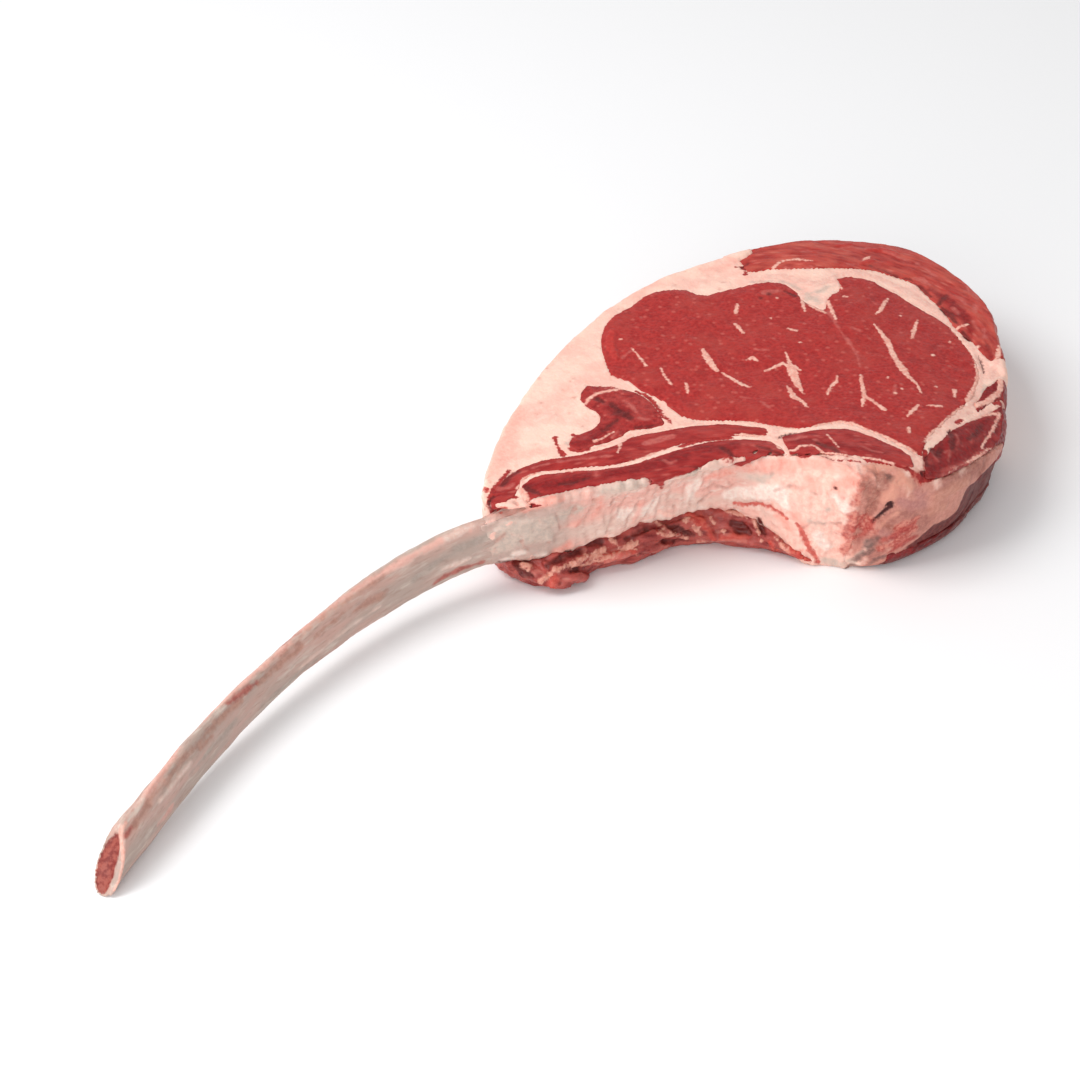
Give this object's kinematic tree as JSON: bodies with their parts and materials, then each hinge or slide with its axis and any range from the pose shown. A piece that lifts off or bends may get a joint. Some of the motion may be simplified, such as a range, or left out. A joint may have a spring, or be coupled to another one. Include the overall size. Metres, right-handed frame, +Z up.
{
  "type": "raw long-bone rib steak",
  "caption": "Thick raw beef rib steak lying flat, with its curved rib left long and bare, marbled eye muscle, fat cap and pale membrane over the bone.",
  "frame": {"origin": "on the table under the middle of the object's box", "axes": "+Z up from the table, +X from the tip of the rib towards the meat, -Y towards the side where the rib and its membrane show"},
  "size_m": [0.4758, 0.179, 0.0515],
  "materials": {
    "bone": "scraped raw bone, greyish tan sides, pinker upper edge, red streaks",
    "membrane": "wet pale membrane and fat, folded and scraped, blushed pink",
    "fat": "firm raw beef fat, pale peach, faintly waxy",
    "lean": "raw red muscle with fine grain and white marbling, moist sheen",
    "dark_lean": "darker raw muscle, torn or coarse, moist sheen"
  },
  "bodies": {
    "root": {"rib_bone": "bone", "bone_sheath": "membrane", "outer_fat": "fat", "rib_eye": "lean", "rib_cap": "lean", "lean_nugget": "dark_lean", "upper_strip": "lean", "lower_strip": "lean", "side_strip": "lean", "corner_lean": "dark_lean", "wedge_lean": "dark_lean", "sole_lean": "dark_lean", "under_lean": "dark_lean"}
  },
  "joints": []
}
